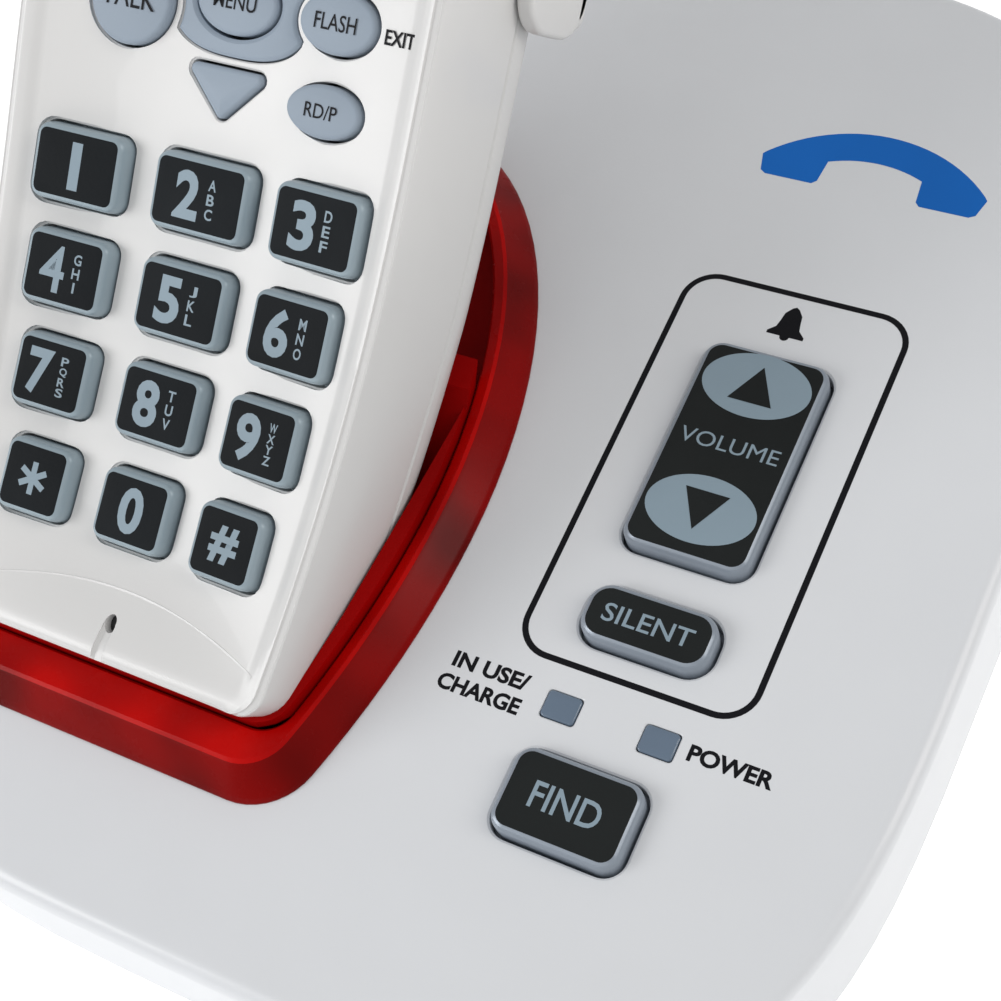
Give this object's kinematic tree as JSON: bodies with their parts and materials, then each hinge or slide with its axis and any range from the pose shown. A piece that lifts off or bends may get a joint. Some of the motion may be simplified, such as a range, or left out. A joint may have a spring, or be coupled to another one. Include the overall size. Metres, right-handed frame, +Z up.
{
  "type": "cordless phone with base",
  "caption": "Cordless desk telephone: push-button handset resting in a charging base with a red ringer light, volume rocker, silence key and handset-finder key.",
  "frame": {"origin": "centre of the base's footprint, on the surface the feet stand on", "axes": "+X to the right as seen by the user, +Y away from the user, +Z up"},
  "size_m": [0.15, 0.165, 0.1341],
  "materials": {
    "base_white": "satin moulded white",
    "handset_white": "satin moulded white",
    "ringer_red": "polished translucent red",
    "cradle_dark": "fine texture",
    "key_silver": "blue-grey keycap with printed black top",
    "key_pearl": "pearl blue-silver",
    "status_window": "smoked window",
    "lcd_clear": "clear acrylic window",
    "lcd_glass": "reflective display glass",
    "circuit_board": "solder-masked board",
    "led_body": "clear lamp body",
    "silicone_grey": "moulded silicone",
    "black_plastic": "moulded black",
    "grille_grey": "fine moulded grille",
    "rubber_black": "soft rubber",
    "steel": "zinc plated",
    "gold_contact": "plated contact",
    "battery_wrap": "shrink-wrapped cells"
  },
  "bodies": {
    "base": {"base_top_shell": "base_white", "base_bottom_shell": "base_white", "ringer_lens": "ringer_red", "cradle_tray": "cradle_dark", "base_board": "circuit_board", "ringer_light_board": "circuit_board", "base_speaker": "black_plastic", "in_use_lens": "status_window", "power_lens": "status_window", "status_leds": "led_body", "base_key_mat": "silicone_grey", "dc_inlet": "black_plastic", "line_jack": "black_plastic", "rubber_feet": "rubber_black", "base_screws": "steel"},
    "handset": {"handset_front_shell": "handset_white", "handset_rear_shell": "handset_white", "earpiece_grille": "grille_grey", "lcd_window": "lcd_clear", "lcd_module": "lcd_glass", "nav_plate": "key_pearl", "earpiece_speaker": "black_plastic", "microphone": "steel", "handset_board": "circuit_board", "keypad_mat": "silicone_grey", "battery_pack": "battery_wrap", "belt_clip": "handset_white", "headset_jack": "black_plastic", "charge_pads": "gold_contact", "handset_screws": "steel"},
    "volume_rocker": {"volume_rocker": "key_silver"},
    "silent_key": {"silent_key": "key_silver"},
    "find_key": {"find_key": "key_silver"},
    "left_charge_contact": {"left_charge_contact": "gold_contact"},
    "right_charge_contact": {"right_charge_contact": "gold_contact"},
    "battery_door": {"battery_door": "handset_white"},
    "key_star": {"key_star": "key_silver"},
    "key_0": {"key_0": "key_silver"},
    "key_hash": {"key_hash": "key_silver"},
    "key_7": {"key_7": "key_silver"},
    "key_8": {"key_8": "key_silver"},
    "key_9": {"key_9": "key_silver"},
    "key_4": {"key_4": "key_silver"},
    "key_5": {"key_5": "key_silver"},
    "key_6": {"key_6": "key_silver"},
    "key_1": {"key_1": "key_silver"},
    "key_2": {"key_2": "key_silver"},
    "key_3": {"key_3": "key_silver"},
    "talk_key": {"talk_key": "key_pearl"},
    "off_key": {"off_key": "key_pearl"},
    "menu_key": {"menu_key": "key_pearl"},
    "up_key": {"up_key": "key_pearl"},
    "down_key": {"down_key": "key_pearl"},
    "flash_key": {"flash_key": "key_pearl"},
    "redial_key": {"redial_key": "key_pearl"}
  },
  "joints": [
    {"name": "handset_lift", "type": "slide", "parent": "base", "child": "handset", "axis": [0, 0, 1], "range_m": [0, 0.08]},
    {"name": "key_star_press", "type": "slide", "parent": "handset", "child": "key_star", "axis": [0, 0.5755, -0.8178], "range_m": [0, 0.0012], "stiffness_N_per_m": 800},
    {"name": "key_0_press", "type": "slide", "parent": "handset", "child": "key_0", "axis": [0, 0.5755, -0.8178], "range_m": [0, 0.0012], "stiffness_N_per_m": 800},
    {"name": "key_hash_press", "type": "slide", "parent": "handset", "child": "key_hash", "axis": [0, 0.5755, -0.8178], "range_m": [0, 0.0012], "stiffness_N_per_m": 800},
    {"name": "key_7_press", "type": "slide", "parent": "handset", "child": "key_7", "axis": [0, 0.6165, -0.7873], "range_m": [0, 0.0012], "stiffness_N_per_m": 800},
    {"name": "key_8_press", "type": "slide", "parent": "handset", "child": "key_8", "axis": [0, 0.6165, -0.7873], "range_m": [0, 0.0012], "stiffness_N_per_m": 800},
    {"name": "key_9_press", "type": "slide", "parent": "handset", "child": "key_9", "axis": [0, 0.6165, -0.7873], "range_m": [0, 0.0012], "stiffness_N_per_m": 800},
    {"name": "key_4_press", "type": "slide", "parent": "handset", "child": "key_4", "axis": [0, 0.655, -0.7556], "range_m": [0, 0.0012], "stiffness_N_per_m": 800},
    {"name": "key_5_press", "type": "slide", "parent": "handset", "child": "key_5", "axis": [0, 0.655, -0.7556], "range_m": [0, 0.0012], "stiffness_N_per_m": 800},
    {"name": "key_6_press", "type": "slide", "parent": "handset", "child": "key_6", "axis": [0, 0.655, -0.7556], "range_m": [0, 0.0012], "stiffness_N_per_m": 800},
    {"name": "key_1_press", "type": "slide", "parent": "handset", "child": "key_1", "axis": [0, 0.6916, -0.7222], "range_m": [0, 0.0012], "stiffness_N_per_m": 800},
    {"name": "key_2_press", "type": "slide", "parent": "handset", "child": "key_2", "axis": [0, 0.6916, -0.7222], "range_m": [0, 0.0012], "stiffness_N_per_m": 800},
    {"name": "key_3_press", "type": "slide", "parent": "handset", "child": "key_3", "axis": [0, 0.6916, -0.7222], "range_m": [0, 0.0012], "stiffness_N_per_m": 800},
    {"name": "talk_key_press", "type": "slide", "parent": "handset", "child": "talk_key", "axis": [0, 0.7071, -0.7071], "range_m": [0, 0.0012], "stiffness_N_per_m": 800},
    {"name": "off_key_press", "type": "slide", "parent": "handset", "child": "off_key", "axis": [0, 0.7071, -0.7071], "range_m": [0, 0.0012], "stiffness_N_per_m": 800},
    {"name": "menu_key_press", "type": "slide", "parent": "handset", "child": "menu_key", "axis": [0, 0.7071, -0.7071], "range_m": [0, 0.0012], "stiffness_N_per_m": 800},
    {"name": "up_key_press", "type": "slide", "parent": "handset", "child": "up_key", "axis": [0, 0.7071, -0.7071], "range_m": [0, 0.0012], "stiffness_N_per_m": 800},
    {"name": "down_key_press", "type": "slide", "parent": "handset", "child": "down_key", "axis": [0, 0.7071, -0.7071], "range_m": [0, 0.0012], "stiffness_N_per_m": 800},
    {"name": "flash_key_press", "type": "slide", "parent": "handset", "child": "flash_key", "axis": [0, 0.7071, -0.7071], "range_m": [0, 0.0012], "stiffness_N_per_m": 800},
    {"name": "redial_key_press", "type": "slide", "parent": "handset", "child": "redial_key", "axis": [0, 0.7071, -0.7071], "range_m": [0, 0.0012], "stiffness_N_per_m": 800},
    {"name": "silent_key_press", "type": "slide", "parent": "base", "child": "silent_key", "axis": [0, 0.1219, -0.9925], "range_m": [0, 0.0012], "stiffness_N_per_m": 800},
    {"name": "find_key_press", "type": "slide", "parent": "base", "child": "find_key", "axis": [0, 0.1219, -0.9925], "range_m": [0, 0.0012], "stiffness_N_per_m": 800},
    {"name": "volume_rock", "type": "hinge", "parent": "base", "child": "volume_rocker", "pos_m": [0.0386, 0.00084, 0.02462], "axis": [1, 0, 0], "range_deg": [-3, 3], "stiffness_Nm_per_rad": 0.5},
    {"name": "left_charge_contact_press", "type": "slide", "parent": "base", "child": "left_charge_contact", "axis": [0, 0.5508, -0.8347], "range_m": [0, 0.001], "stiffness_N_per_m": 500},
    {"name": "right_charge_contact_press", "type": "slide", "parent": "base", "child": "right_charge_contact", "axis": [0, 0.5508, -0.8347], "range_m": [0, 0.001], "stiffness_N_per_m": 500},
    {"name": "battery_door_hinge", "type": "hinge", "parent": "handset", "child": "battery_door", "pos_m": [-0.024, 0.03874, 0.0747], "axis": [-1, 0, 0], "range_deg": [0, 75]}
  ]
}
